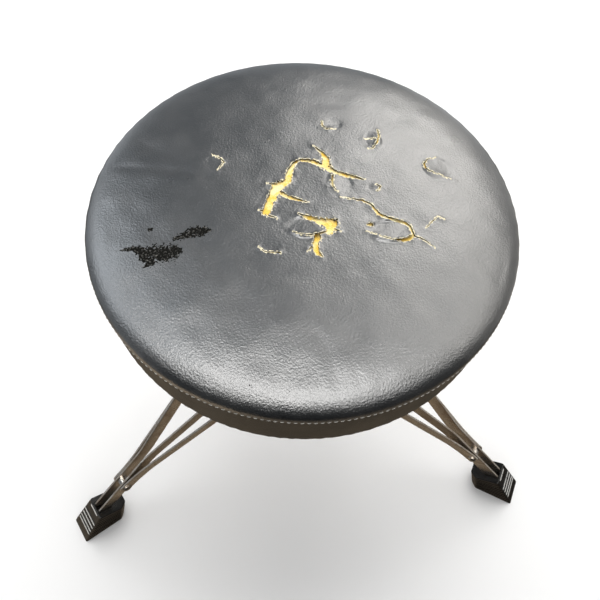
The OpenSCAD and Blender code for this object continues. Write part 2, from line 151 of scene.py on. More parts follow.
# Soft creases in the vinyl, in millimetres: path, depth and half width
CREASES = [
    ([(-156, 46), (-126, 38), (-94, 30), (-73, 23)], 0.5, 3.0),
    ([(-120, 60), (-96, 44), (-84, 22)], 0.3, 4.0),
    ([(-20, 118), (14, 96), (52, 92)], 0.35, 5.0),
    ([(8, -150), (4, -128), (-2, -112)], 0.35, 3.5),
    ([(22, -148), (20, -130)], 0.3, 2.5),
    ([(131, -79), (140, -62)], 0.5, 3.0),
    ([(-42, -60), (-10, -70), (30, -66)], 0.3, 4.0),
]


# ---- geometry helpers ----

def add_object(name, verts, faces, smooth=True):
    """A new mesh object in the row frame."""
    mesh = bpy.data.meshes.new(name)
    mesh.from_pydata([tuple(v) for v in verts], [], [tuple(f) for f in faces])
    mesh.update()
    if smooth:
        mesh.shade_smooth()
    obj = bpy.data.objects.new(name, mesh)
    bpy.context.scene.collection.objects.link(obj)
    return obj


def apply_modifiers(obj):
    """Replaces obj's mesh with its evaluated one."""
    evaluated = obj.evaluated_get(bpy.context.evaluated_depsgraph_get())
    mesh = bpy.data.meshes.new_from_object(evaluated)
    obj.modifiers.clear()
    obj.data = mesh


def grid_faces(rows, columns):
    """Quads of a grid stored row by row, whose last column meets its first."""
    return [
        (i * columns + j, i * columns + (j + 1) % columns,
         (i + 1) * columns + (j + 1) % columns, (i + 1) * columns + j)
        for i in range(rows - 1) for j in range(columns)
    ]


def ripple(points, pitch, seed):
    """Smooth pseudo-random field between about -1 and 1, with bumps about pitch across."""
    total = np.zeros(len(points))
    for k in range(7):
        turn = seed + 2.4 * k
        wave = 2 * math.pi / pitch * (0.7 + 0.12 * k)
        along = points[:, 0] * math.cos(turn) + points[:, 1] * math.sin(turn)
        total += np.sin(wave * along + 1.7 * k * k + 5 * seed)
    return total / 3.2


def crown_height(radius, outer, rise):
    """Height of a crowned disc above its rim."""
    share = np.clip(np.asarray(radius) / outer, 0, 1)
    return rise * np.power(1 - np.power(share, CROWN_POWER), 1 / CROWN_POWER)


def distance_to_path(points, path):
    """Distance of each point from a polyline."""
    best = np.full(len(points), 1e9)
    for start, end in zip(path, path[1:]):
        a = np.array(start[:2], float)
        d = np.array(end[:2], float) - a
        t = np.clip((points - a) @ d / (d @ d), 0, 1)
        best = np.minimum(best, np.linalg.norm(points - a - t[:, None] * d, axis=1))
    return best


def stroke_distance(points, strokes, ragged):
    """Distance in millimetres from the nearest stroke's ragged edge, below 0 inside it."""
    best = np.full(len(points), 1e9)
    for path in strokes:
        for (x0, y0, w0), (x1, y1, w1) in zip(path, path[1:]):
            a = np.array([x0, y0], float)
            d = np.array([x1 - x0, y1 - y0], float)
            t = np.clip((points - a) @ d / (d @ d), 0, 1)
            off = np.linalg.norm(points - a - t[:, None] * d, axis=1)
            best = np.minimum(best, off - (w0 + (w1 - w0) * t) / 2 * ragged)
    return best


def tear_distance(points):
    """Distance in millimetres from the nearest split's edge, below 0 inside it."""
    ragged = 1.2 + 0.28 * ripple(points, 3.1, 0.4) + 0.2 * ripple(points, 1.3, 1.1)
    return stroke_distance(points, TEARS, ragged)


def residue_and_hole_shade_distance(points):
    """The same for the residue and the pin holes' painted-shade dots, whose edge is rougher."""
    ragged = 0.98 + 0.22 * ripple(points, 7, 0.8) + 0.30 * ripple(points, 2.6, 2.3)
    ragged = ragged + 0.2 * ripple(points, 1.4, 0.1)
    return stroke_distance(points, RESIDUE_AND_HOLE_SHADE, ragged)


# ---- materials ----

class Look:
    """A node material round one Principled shader, in the object's own coordinates."""

    def __init__(self, name, roughness=0.5, metallic=0.0, **constants):
        self.material = bpy.data.materials.new(name)
        self.material.use_nodes = True
        self.tree = self.material.node_tree
        self.shader = self.tree.nodes["Principled BSDF"]
        self.place = self.tree.nodes.new("ShaderNodeTexCoord").outputs["Object"]
        self.set(Roughness=roughness, Metallic=metallic)
        self.set(**constants)

    def feed(self, socket, value):
        """Sets a socket to a number or colour, or links it to another node's output."""
        if isinstance(value, bpy.types.NodeSocket):
            self.tree.links.new(value, socket)
        elif isinstance(value, tuple) and len(value) == 3 and socket.type == "RGBA":
            socket.default_value = (*value, 1)
        else:
            socket.default_value = value

    def set(self, **values):
        """Feeds the shader's sockets, named with _ for each space."""
        for name, value in values.items():
            self.feed(self.shader.inputs[name.replace("_", " ")], value)

    def scaled(self, stretch):
        """The object's coordinates, each multiplied by its number in stretch."""
        node = self.tree.nodes.new("ShaderNodeMapping")
        node.vector_type = "TEXTURE"
        node.inputs["Scale"].default_value = tuple(1 / s for s in stretch)
        self.tree.links.new(self.place, node.inputs["Vector"])
        return node.outputs["Vector"]

    def noise(self, size, detail=4.0, rough=0.55, distort=0.0, place=None):
        """Noise whose blotches are about size metres across."""
        node = self.tree.nodes.new("ShaderNodeTexNoise")
        node.inputs["Scale"].default_value = 1 / size
        node.inputs["Detail"].default_value = detail
        node.inputs["Roughness"].default_value = rough
        node.inputs["Distortion"].default_value = distort
        self.tree.links.new(place or self.place, node.inputs["Vector"])
        return node.outputs["Fac"]

    def cells(self, size):
        """Distance from the middle of the nearest of many cells about size metres across."""
        node = self.tree.nodes.new("ShaderNodeTexVoronoi")
        node.inputs["Scale"].default_value = 1 / size
        self.tree.links.new(self.place, node.inputs["Vector"])
        return node.outputs["Distance"]

    def math(self, operation, a, b):
        """The result of a Math node on two values."""
        node = self.tree.nodes.new("ShaderNodeMath")
        node.operation = operation
        self.feed(node.inputs[0], a)
        self.feed(node.inputs[1], b)
        return node.outputs["Value"]

    def span(self, value, low, high, to_low=0.0, to_high=1.0):
        """Value remapped from low..high to to_low..to_high, and clamped."""
        node = self.tree.nodes.new("ShaderNodeMapRange")
        self.feed(node.inputs["Value"], value)
        limits = {"From Min": low, "From Max": high, "To Min": to_low, "To Max": to_high}
        for socket, number in limits.items():
            node.inputs[socket].default_value = number
        return node.outputs["Result"]

    def mix(self, factor, a, b):
        """Colour from a, where factor is 0, to b, where it is 1."""
        node = self.tree.nodes.new("ShaderNodeMix")
        node.data_type = "RGBA"
        self.feed(node.inputs["Factor"], factor)
        self.feed(node.inputs[6], a)
        self.feed(node.inputs[7], b)
        return node.outputs[2]

    def bump(self, height, depth, strength=1.0, under=None):
        """Surface bump of the given depth in metres, on top of another bump."""
        node = self.tree.nodes.new("ShaderNodeBump")
        node.inputs["Strength"].default_value = strength
        node.inputs["Distance"].default_value = depth
        self.tree.links.new(height, node.inputs["Height"])
        if under:
            self.tree.links.new(under, node.inputs["Normal"])
        return node.outputs["Normal"]

    def attribute(self, name):
        """A value stored on the mesh's points."""
        node = self.tree.nodes.new("ShaderNodeAttribute")
        node.attribute_name = name
        return node.outputs["Fac"]


def leather_grain(look, depth):
    """Embossed grain: small rounded cells with finer wrinkles between them."""
    cells = look.cells(1.5 * MM)
    wrinkles = look.noise(0.9 * MM, 3, 0.6, 0.5)
    broad = look.noise(7 * MM, 3, 0.5, 0.8)
    grain = look.math("ADD", cells, look.math("MULTIPLY", wrinkles, 1.4))
    return look.bump(broad, 1.5 * depth, 0.4, look.bump(grain, depth))


def vinyl_top_material():
    look = Look("vinyl_top", Specular_IOR_Level=1.0,
                Coat_Weight=1.0, Coat_IOR=1.6, Coat_Roughness=0.27)
    haze = look.noise(35 * MM, 6, 0.6, 0.5)
    dust = look.noise(1.2 * MM, 3, 0.7)
    speck = look.span(dust, 0.62, 0.74)
    base = look.mix(look.span(haze, 0.35, 0.7), (0.011, 0.013, 0.015), (0.024, 0.025, 0.026))
    base = look.mix(look.math("MULTIPLY", speck, 0.30), base, (0.09, 0.09, 0.09))
    # Darker within about a millimetre of the splits: painted shade of the torn, curled edges, with
    # some wear of the vinyl there.
    edge_wear_and_shade = look.attribute("wear")
    base = look.mix(look.math("MULTIPLY", edge_wear_and_shade, 0.55), base, (0.012, 0.012, 0.013))
    rough = look.span(haze, 0.3, 0.75, 0.27, 0.38)
    grain = leather_grain(look, 0.115 * MM)
    look.set(Base_Color=base, Roughness=rough, Normal=grain, Coat_Normal=grain)
    return look.material


# Matte black residue, also drawn at the pin holes as painted shade.
def residue_and_hole_shade_material():
    look = Look("residue_and_hole_shade", 1.0, Specular_IOR_Level=0.0)
    crumbs = look.noise(1.6 * MM, 4, 0.7)
    base = look.mix(look.span(crumbs, 0.55, 0.66), (0.010, 0.010, 0.009), (0.15, 0.145, 0.135))
    look.set(Base_Color=base, Normal=look.bump(crumbs, 0.4 * MM))
    return look.material


def vinyl_side_material():
    look = Look("vinyl_side", Specular_IOR_Level=0.5)
    haze = look.noise(30 * MM, 5, 0.6)
    base = look.mix(look.span(haze, 0.35, 0.7), (0.019, 0.016, 0.011), (0.033, 0.028, 0.020))
    rough = look.span(haze, 0.3, 0.7, 0.28, 0.42)
    look.set(Base_Color=base, Roughness=rough, Normal=leather_grain(look, 0.05 * MM))
    return look.material


def backing_material():
    look = Look("cloth_backing", 0.95)
    threads = look.noise(0.5 * MM, 3, 0.8)
    base = look.mix(threads, (0.62, 0.53, 0.32), (0.92, 0.86, 0.66))
    look.set(Base_Color=base, Normal=look.bump(threads, 0.2 * MM))
    return look.material


def foam_material():
    look = Look("foam", 0.95)
    age = look.noise(9 * MM, 5, 0.6, 0.6)
    pores = look.cells(0.8 * MM)
    base = look.mix(look.span(age, 0.42, 0.62), (0.92, 0.60, 0.09), (0.95, 0.82, 0.42))
    base = look.mix(look.span(look.noise(2.2 * MM, 4, 0.7), 0.66, 0.74), base, (0.12, 0.05, 0.008))
    look.set(Base_Color=base, Normal=look.bump(pores, 0.35 * MM))
    return look.material


def thread_material():
    look = Look("thread", 0.8)
    fibre = look.noise(0.4 * MM, 3, 0.7)
    base = look.mix(fibre, (0.45, 0.43, 0.38), (0.80, 0.77, 0.70))
    look.set(Base_Color=base, Normal=look.bump(fibre, 0.1 * MM))
    return look.material


PLY_PITCH = 3 * MM


def plywood_material():
    """Wood with its layers showing as bands up the board's edge."""
    look = Look("plywood", 0.7)
    grain = look.noise(9 * MM, 6, 0.6, 0.4, look.scaled((1, 9, 1)))
    plies = look.tree.nodes.new("ShaderNodeTexWave")
    plies.bands_direction = "Z"
    plies.inputs["Scale"].default_value = 1 / (PLY_PITCH * 2 * math.pi)
    look.tree.links.new(look.place, plies.inputs["Vector"])
    base = look.mix(look.span(grain, 0.3, 0.7), (0.50, 0.33, 0.18), (0.72, 0.54, 0.34))
    base = look.mix(look.math("MULTIPLY", plies.outputs["Fac"], 0.25), base, (0.30, 0.18, 0.09))
    look.set(Base_Color=base, Normal=look.bump(grain, 0.2 * MM))
    return look.material


def metal_material(name, bright, dull, roughness, tarnish, pit):
    """Plated metal with brown tarnish, from 0, clean, to 1, and pits of a depth in millimetres."""
    look = Look(name, metallic=1.0)
    stain = look.noise(16 * MM, 8, 0.7, 0.9)
    speck = look.noise(1.6 * MM, 5, 0.75)
    blotch = look.math("ADD", stain, look.math("MULTIPLY", speck, 0.35))
    cover = look.span(blotch, 0.86 - 0.42 * tarnish, 0.94)
    base = look.mix(cover, bright, dull)
    pits = look.span(speck, 0.64, 0.70)
    base = look.mix(look.math("MULTIPLY", pits, 0.4 + 0.5 * tarnish), base, (0.035, 0.022, 0.014))
    rough = look.math("ADD", look.math("MULTIPLY", cover, 0.30), roughness)
    look.set(Base_Color=base, Roughness=rough, Normal=look.bump(speck, pit * MM, 0.6))
    return look.material


def cast_material():
    look = Look("cast_metal", metallic=1.0)
    sand = look.noise(0.9 * MM, 4, 0.6)
    stain = look.noise(20 * MM, 5, 0.6)
    base = look.mix(look.span(stain, 0.35, 0.7), (0.52, 0.52, 0.53), (0.26, 0.24, 0.21))
    rough = look.span(stain, 0.3, 0.7, 0.34, 0.55)
    look.set(Base_Color=base, Roughness=rough, Normal=look.bump(sand, 0.12 * MM, 0.6))
    return look.material


def rubber_material():
    look = Look("rubber", Specular_IOR_Level=0.22)
    dust = look.noise(8 * MM, 7, 0.7, 0.3)
    fine = look.noise(0.7 * MM, 3, 0.7)
    base = look.mix(look.span(dust, 0.50, 0.78), (0.004, 0.004, 0.004), (0.016, 0.013, 0.010))
    # Pale patches on the ribs' crests, where the wear attribute is: scuffs, and a painted highlight
    # along the crests.
    scuff_and_highlight = look.span(look.noise(3 * MM, 4, 0.6), 0.26, 0.40)
    worn = look.math("MULTIPLY", look.attribute("wear"), scuff_and_highlight)
    base = look.mix(look.span(worn, 0.25, 0.75), base, (0.60, 0.59, 0.56))
    rough = look.span(dust, 0.3, 0.8, 0.22, 0.45)
    look.set(Base_Color=base, Roughness=rough, Normal=look.bump(fine, 0.05 * MM))
    return look.material


def plastic_material(name, dark, light, roughness):
    look = Look(name)
    mould = look.noise(0.8 * MM, 3, 0.6)
    wear = look.noise(10 * MM, 5, 0.6)
    rough = look.span(wear, 0.3, 0.7, roughness, roughness + 0.15)
    base = look.mix(wear, dark, light)
    look.set(Base_Color=base, Roughness=rough, Normal=look.bump(mould, 0.05 * MM))
    return look.material


MATERIALS = {
    "vinyl_top": vinyl_top_material(),
    "vinyl_side": vinyl_side_material(),
    "backing": backing_material(),
    "residue_and_hole_shade": residue_and_hole_shade_material(),
    "foam": foam_material(),
    "thread": thread_material(),
    "plywood": plywood_material(),
    "cast_metal": cast_material(),
    "rubber": rubber_material(),
}

# bright colour, dull colour, roughness, tarnish and depth of the pits in millimetres
METALS = {
    "strap_chrome": ((0.80, 0.75, 0.68), (0.36, 0.27, 0.19), 0.20, 0.85, 0.16),
    "chrome": ((0.78, 0.77, 0.75), (0.34, 0.28, 0.22), 0.08, 0.25, 0.05),
    "plated_steel": ((0.46, 0.44, 0.41), (0.17, 0.13, 0.09), 0.26, 0.6, 0.05),
    "black_steel": ((0.05, 0.05, 0.055), (0.09, 0.06, 0.04), 0.35, 0.3, 0.05),
}
for name, numbers in METALS.items():
    MATERIALS[name] = metal_material(name, *numbers)

# dark colour, light colour and roughness
PLASTICS = {
    "nylon": ((0.62, 0.61, 0.57), (0.74, 0.73, 0.69), 0.35),
    "black_plastic": ((0.012, 0.012, 0.013), (0.03, 0.03, 0.031), 0.35),
}
for name, numbers in PLASTICS.items():
    MATERIALS[name] = plastic_material(name, *numbers)


def dress(obj, *names):
    """Gives obj these materials, in the order of its material slots. Its faces keep their slots."""
    kinds = np.zeros(len(obj.data.polygons), np.int32)
    obj.data.polygons.foreach_get("material_index", kinds)
    obj.data.materials.clear()
    for name in names:
        obj.data.materials.append(MATERIALS[name])
    obj.data.polygons.foreach_set("material_index", kinds)
    return obj


# ---- seat pad ----

def pad_profile(rise):
    """Outline of the foam pad, from the middle of its crown to the middle of its flat underside."""
    line = []
    for k in range(19):
        radius = FOAM_R * math.sin(math.radians(5 * k))
        line.append((radius, SEAM_Z + float(crown_height(radius, FOAM_R, rise))))
    line += [(FOAM_R, SEAM_Z - 8 * MM), (FOAM_R, SEAM_Z - 20 * MM), (FOAM_R - 1 * MM, FOAM_Z)]
    line += [(FOAM_R * k / 6, FOAM_Z) for k in (5, 4, 3, 2, 1)]
    return line


def build_foam():
    """Foam pad, swelled by a cloth simulation under pressure."""
    segments = FOAM_SEGMENTS
    rise = CROWN_H - VINYL_T - SLACK - FOAM_SWELL
    line = pad_profile(rise)
    rows = line[1:]
    verts = [(0, 0, line[0][1])]
    for radius, z in rows:
        for j in range(segments):
            a = 2 * math.pi * j / segments
            verts.append((radius * math.cos(a), radius * math.sin(a), z))
    verts.append((0, 0, FOAM_Z))
    faces = [(0, 1 + j, 1 + (j + 1) % segments) for j in range(segments)]
    faces += [tuple(1 + i for i in face) for face in grid_faces(len(rows), segments)]
    start = 1 + (len(rows) - 1) * segments
    faces += [(len(verts) - 1, start + (j + 1) % segments, start + j) for j in range(segments)]
    pad = add_object("seat_foam", verts, faces)
    remesh = pad.modifiers.new("remesh", "REMESH")
    remesh.mode = "VOXEL"
    remesh.voxel_size = FOAM_VOXEL
    apply_modifiers(pad)
    inflate(pad, FOAM_SWELL)
    smooth = pad.modifiers.new("subdivision", "SUBSURF")
    smooth.levels = smooth.render_levels = 1
    apply_modifiers(pad)
    pad.data.shade_smooth()
    return pad


def inflate(pad, cap):
    """Swells the top of the pad by cloth pressure. No point moves further than cap."""
    before = vertex_array(pad)
    held = pad.vertex_groups.new(name="held")
    for i, v in enumerate(before):
        loose = np.clip((v[2] - SEAM_Z - 2 * MM) / (10 * MM), 0, 1)
        held.add([i], float(1 - loose), "REPLACE")
    cloth = pad.modifiers.new("cloth", "CLOTH")
    cloth.settings.use_pressure = True
    cloth.settings.uniform_pressure_force = CLOTH_PRESSURE
    cloth.settings.vertex_group_mass = "held"
    cloth.settings.effector_weights.gravity = 0
    cloth.point_cache.frame_start = 1
    cloth.point_cache.frame_end = CLOTH_FRAMES
    for number in range(1, CLOTH_FRAMES + 1):
        bpy.context.scene.frame_set(number)
    apply_modifiers(pad)
    after = vertex_array(pad)
    move = after - before
    length = np.linalg.norm(move, axis=1, keepdims=True)
    move *= np.minimum(1, cap / np.maximum(length, 1e-9))
    set_vertex_array(pad, before + move)
    bpy.context.scene.frame_set(1)


def set_wear_and_painted_light(obj, values):
    """Stores a value per point that materials read as the attribute wear: real wear, and where they
    paint shade or a highlight.
    """
    wear = obj.data.attributes.new("wear", "FLOAT", "POINT")
    wear.data.foreach_set("value", np.array(values, np.float32))


def thicken(obj):
    """Gives a sheet its thickness, inwards, with its inside and edge in the next material slot."""
    shell = obj.modifiers.new("thickness", "SOLIDIFY")
    shell.thickness = SHEET_T
    shell.offset = -1
    shell.material_offset = 1
    shell.material_offset_rim = 1
    return shell


def vertex_array(obj):
    """The places of obj's vertices, one row each."""
    flat = np.zeros(len(obj.data.vertices) * 3, np.float32)
    obj.data.vertices.foreach_get("co", flat)
    return flat.reshape(-1, 3).astype(float)


def set_vertex_array(obj, places):
    obj.data.vertices.foreach_set("co", places.astype(np.float32).ravel())
    obj.data.update()


# ---- vinyl top ----

def hexagonal(pitch, reach):
    """Points of a hexagonal lattice inside a circle, in millimetres."""
    rows = int(reach / (pitch * 0.866)) + 1
    columns = int(reach / pitch) + 1
    j, i = np.mgrid[-rows:rows + 1, -columns:columns + 1]
    x = (i + 0.5 * (j % 2)) * pitch
    y = j * pitch * 0.866
    points = np.column_stack([x.ravel(), y.ravel()])
    return points[np.hypot(points[:, 0], points[:, 1]) < reach]


def snap_to_edge(points, reach):
    """Moves points that are within reach of a split's edge onto it."""
    step = 0.02
    gap = tear_distance(points)
    near = np.abs(gap) < reach
    some = points[near]
    dx = (tear_distance(some + [step, 0]) - tear_distance(some - [step, 0])) / (2 * step)
    dy = (tear_distance(some + [0, step]) - tear_distance(some - [0, step])) / (2 * step)
    slope = np.maximum(dx * dx + dy * dy, 0.3)
    some = some - np.column_stack([dx, dy]) * (gap[near] / slope)[:, None]
    points[near] = some
    return points


def cut_openings(points, gap, triangles):
    """Keeps the part of each triangle that lies outside the splits, where gap is at least 0."""
    points = [tuple(p) for p in points]
    made = {}

    def crossing(a, b):
        key = (min(a, b), max(a, b))
        if key not in made:
            t = gap[a] / (gap[a] - gap[b])
            made[key] = len(points)
            points.append(tuple(points[a][i] + (points[b][i] - points[a][i]) * t for i in (0, 1)))
        return made[key]

    kept = []
    for triangle in triangles:
        inside = [gap[i] < 0 for i in triangle]
        if not any(inside):
            kept.append(triangle)
        elif not all(inside):
            outline = []
            for a, b in zip(triangle, triangle[1:] + triangle[:1]):
                if gap[a] >= 0:
                    outline.append(a)
                if (gap[a] < 0) != (gap[b] < 0) and 0 not in (gap[a], gap[b]):
                    outline.append(crossing(a, b))
            kept += [(outline[0], a, b) for a, b in zip(outline[1:], outline[2:])]
    used = sorted({i for face in kept for i in face})
    number = {old: new for new, old in enumerate(used)}
    return np.array([points[i] for i in used]), [tuple(number[i] for i in face) for face in kept]


def surface_detail(points):
    """Height in millimetres of the waves, creases and loose flaps above the smooth crown."""
    radius = np.hypot(points[:, 0], points[:, 1])
    rim = SEAT_R / MM
    inner = np.clip((0.97 * rim - radius) / (0.10 * rim), 0, 1)
    height = (0.32 * ripple(points, 74, 0.2) + 0.16 * ripple(points, 27, 1.9)) * inner
    worn = np.clip(1 - np.hypot(points[:, 0] - 25, points[:, 1] - 5) / 95, 0, 1)
    height += 0.07 * worn * ripple(points, 8.5, 3.3) + 0.035 * inner * ripple(points, 4.2, 2.6)
    for path, depth, half_width in CREASES:
        height -= depth * np.exp(-np.square(distance_to_path(points, path) / half_width)) * inner
    for x, y, rx, ry, lift, direction in FLAPS:
        local = points - [x, y]
        size = np.hypot(local[:, 0] / rx, local[:, 1] / ry)
        turn = math.radians(direction)
        across = local[:, 0] * math.cos(turn) / rx + local[:, 1] * math.sin(turn) / ry
        tilt = np.where(across > 0, across, 0.9 * across)
        height += lift * tilt * np.clip((1.22 - size) / 0.22, 0, 1)
    return height


def lip(points, gap):
    """Curl in millimetres of the torn edges."""
    curl = 0.30 + 0.45 * ripple(points, 11, 0.7)
    return np.clip(curl, 0, 0.9) * np.exp(-np.maximum(gap, 0) / 1.9)


def pad_height(pad):
    """Function that gives the vinyl's smooth height over each plan point, in metres.

    It is the CAD's crown, plus a third of the way to the swelled pad in the middle.
    """
    tree = BVHTree.FromObject(pad, bpy.context.evaluated_depsgraph_get())
    down = Vector((0, 0, -1))
    above = SEAM_Z + CROWN_H + 50 * MM

    def height(points):
        radius = np.hypot(points[:, 0], points[:, 1]) * MM
        smooth = SEAM_Z + crown_height(radius, SEAT_R, CROWN_H)
        hits = [tree.ray_cast(Vector((x * MM, y * MM, above)), down)[0] for x, y in points]
        swelled = [flat if hit is None else hit.z + VINYL_T + SLACK
                   for flat, hit in zip(smooth, hits)]
        share = np.clip((0.96 * SEAT_R - radius) / (0.50 * SEAT_R), 0, 1)
        swell = 0.35 * np.clip(np.array(swelled) - smooth, -2 * MM, 3 * MM)
        return smooth + swell * share * share * (3 - 2 * share)

    return height


def sheet_points(reach):
    """Points of the torn sheet, close together at the splits and residue. In millimetres."""
    coarse, middle, fine = (hexagonal(pitch, reach) for pitch in (COARSE, MIDDLE, FINE))
    coarse = coarse[tear_distance(coarse) > MIDDLE_REACH]
    coarse = coarse[residue_and_hole_shade_distance(coarse) > SPOT_MIDDLE_REACH]
    gap, spot = tear_distance(middle), residue_and_hole_shade_distance(middle)
    near_split = (gap <= MIDDLE_REACH) & (gap > FINE_REACH)
    near_spot = (spot <= SPOT_MIDDLE_REACH) & (spot > SPOT_REACH)
    middle = middle[near_split | near_spot]
    at_edge = np.abs(tear_distance(fine)) <= FINE_REACH
    fine = fine[at_edge | (residue_and_hole_shade_distance(fine) <= SPOT_REACH)]
    return np.vstack([coarse, middle, fine])


def sheet_looks(centres):
    """Material slot at each place of the sheet: 0 vinyl, 1 frayed backing by a split, 2 residue,
    which at the pin holes is painted shade.
    """
    slots = np.where(residue_and_hole_shade_distance(centres) < 0, 2, 0)
    frayed = 0.50 + 0.55 * ripple(centres, 3.3, 1.4) + 0.25 * ripple(centres, 1.1, 0.2)
    slots[tear_distance(centres) < frayed] = 1
    return slots


def build_vinyl_top(height):
    """Torn vinyl cover of the crown, down to the seam and turned in under it."""
    angles = [2 * math.pi * j / TOP_SEGMENTS for j in range(TOP_SEGMENTS)]
    flat_r = SEAT_R / MM * math.sin(math.radians(68))
    ring = np.array([(flat_r * math.cos(a), flat_r * math.sin(a)) for a in angles])
    loose = snap_to_edge(sheet_points(flat_r - 1.6), SNAP_REACH)
    found = delaunay_2d_cdt([Vector(p) for p in np.vstack([ring, loose])], [], [], 0, 1e-6)
    plan = np.array([tuple(v) for v in found[0]])
    gap = tear_distance(plan)
    gap[np.abs(gap) < EDGE_SNAP] = 0
    plan, triangles = cut_openings(plan, gap, [tuple(face) for face in found[2]])
    gap = np.maximum(tear_distance(plan), 0)
    z = height(plan) + (surface_detail(plan) + lip(plan, gap)) * MM
    verts = [(x * MM, y * MM, h) for (x, y), h in zip(plan, z)]
    faces = list(triangles)
    previous = [int(np.argmin(np.hypot(*(plan - corner).T))) for corner in ring]

    # the rim, with puckers above the seam
    for degrees in (70, 72, 74, 76, 78, 80, 82, 84, 86, 87.5, 88.7, 89.5, 90):
        share = math.sin(math.radians(degrees))
        row = []
        for a in angles:
            pucker = 0.22 * MM * math.sin(61 * a + 2 * math.sin(5 * a))
            pucker *= max(0, 1 - abs(degrees - 84) / 9)
            radius = SEAT_R * share + 0.5 * pucker
            z_row = SEAM_Z + float(crown_height(SEAT_R * share, SEAT_R, CROWN_H)) + pucker
            row.append(len(verts))
            verts.append((radius * math.cos(a), radius * math.sin(a), z_row))
        faces += join_rings(previous, row)
        previous = row

    # the edge that is turned in at the seam
    for inset, drop in ((0.5, 0.25), (2.2, 0.3), (3.5, 0.1)):
        radius = SEAT_R - inset * MM
        row = list(range(len(verts), len(verts) + TOP_SEGMENTS))
        verts += [(radius * math.cos(a), radius * math.sin(a), SEAM_Z - drop * MM) for a in angles]
        faces += join_rings(previous, row)
        previous = row

    top = add_object("seat_vinyl_top", verts, faces)
    slots = np.zeros(len(faces), np.int32)
    centres = np.array([plan[list(face)].mean(axis=0) for face in triangles])
    slots[:len(triangles)] = sheet_looks(centres)
    top.data.polygons.foreach_set("material_index", slots)
    # The wear attribute is 1 at the splits' edges and fades within a few millimetres. The vinyl_top
    # material paints shade there, with some wear.
    wear = np.zeros(len(verts), np.float32)
    wear[:len(plan)] = np.exp(-gap / 1.3)
    set_wear_and_painted_light(top, wear)
    thicken(top).use_even_offset = False
    return top


def join_rings(inner, outer):
    """Quads between two rings of vertex numbers of the same length."""
    n = len(inner)
    return [(inner[j], outer[j], outer[(j + 1) % n], inner[(j + 1) % n]) for j in range(n)]


# ---- vinyl side ----

def build_vinyl_side():
    """Side band with puckers under the seam and pleats where its hem is stapled under the board."""
    top_z = SEAM_Z - 0.35 * MM
    lip_z = top_z - 0.5 * MM
    fold = 3.0 * MM
    fold_r = BAND_R - fold
    profile = [(BAND_R - 3.0 * MM, top_z), (BAND_R - 0.8 * MM, top_z), (BAND_R, lip_z)]
    steps = 18
    for k in range(1, steps + 1):
        profile.append((BAND_R, lip_z + (BAND_Z + fold - lip_z) * k / steps))
    for k in range(1, 6):
        a = math.radians(18 * k)
        profile.append((BAND_R - fold * (1 - math.cos(a)), BAND_Z + fold * (1 - math.sin(a))))
    profile += [(fold_r - (fold_r - HEM_R) * k / 8, BAND_Z) for k in range(1, 9)]
    last_upright = steps + 7
    verts = []
    for row, (radius, z) in enumerate(profile):
        depth = (top_z - z) / (top_z - BAND_Z)
        share = (fold_r - radius) / (fold_r - HEM_R)
        for j in range(SIDE_SEGMENTS):
            a = 2 * math.pi * j / SIDE_SEGMENTS
            wave = math.sin(96 * a + 3 * math.sin(7 * a)) + 0.6 * math.sin(143 * a + 1.3)
            slow = math.sin(9 * a + 0.7) + 0.7 * math.sin(17 * a + 2.1)
            r, h = radius, z
            if 1 < row <= last_upright:
                pucker = 0.22 * wave * math.exp(-depth * 7)
                bulge = 0.22 * slow * math.sin(math.pi * depth)
                r += MM * (pucker + bulge)
                r += MM * (0.16 * wave * max(0, depth - 0.75) * 4 - 0.25 * math.exp(-depth * 14))
            elif row > last_upright:
                pleat = max(0, math.sin(60 * a + 1.5 * math.sin(11 * a))) ** 4
                h += 0.75 * MM * pleat * share
                r += 1.2 * MM * share * math.sin(31 * a + 2 * math.sin(4 * a))
            verts.append((r * math.cos(a), r * math.sin(a), h))
    outward = [tuple(reversed(face)) for face in grid_faces(len(profile), SIDE_SEGMENTS)]
    side = add_object("seat_vinyl_side", verts, outward)
    thicken(side)
    return side


def build_stitches():
    """Lock stitches along the seam, as short bent lengths of thread with rounded ends."""
    count = round(2 * math.pi * SEAT_R / STITCH_PITCH)
    verts, faces = [], []
    rings, sides = 7, 8
    for n in range(count):
        a = 2 * math.pi * n / count
        across = Vector((-math.sin(a), math.cos(a), 0))
        out = Vector((math.cos(a), math.sin(a), 0))
        along = (across + Vector((0, 0, 0.22))).normalized()
        side = along.cross(out)
        centre = out * (SEAT_R + 0.16 * MM) + Vector((0, 0, SEAM_Z + 0.3 * MM))
        base = len(verts)
        for i in range(rings):
            t = i / (rings - 1) * 2 - 1
            spine = centre + along * (t * 1.6 * MM) - out * (0.45 * MM * t * t)
            radius = THREAD_R * math.sqrt(max(0.06, 1 - t ** 6))
            for k in range(sides):
                b = 2 * math.pi * k / sides
                verts.append(spine + (out * math.cos(b) + side * math.sin(b)) * radius)
        faces += [tuple(base + i for i in face) for face in grid_faces(rings, sides)]
        faces.append(tuple(base + k for k in reversed(range(sides))))
        faces.append(tuple(base + (rings - 1) * sides + k for k in range(sides)))
    return add_object("seam_stitches", verts, faces)


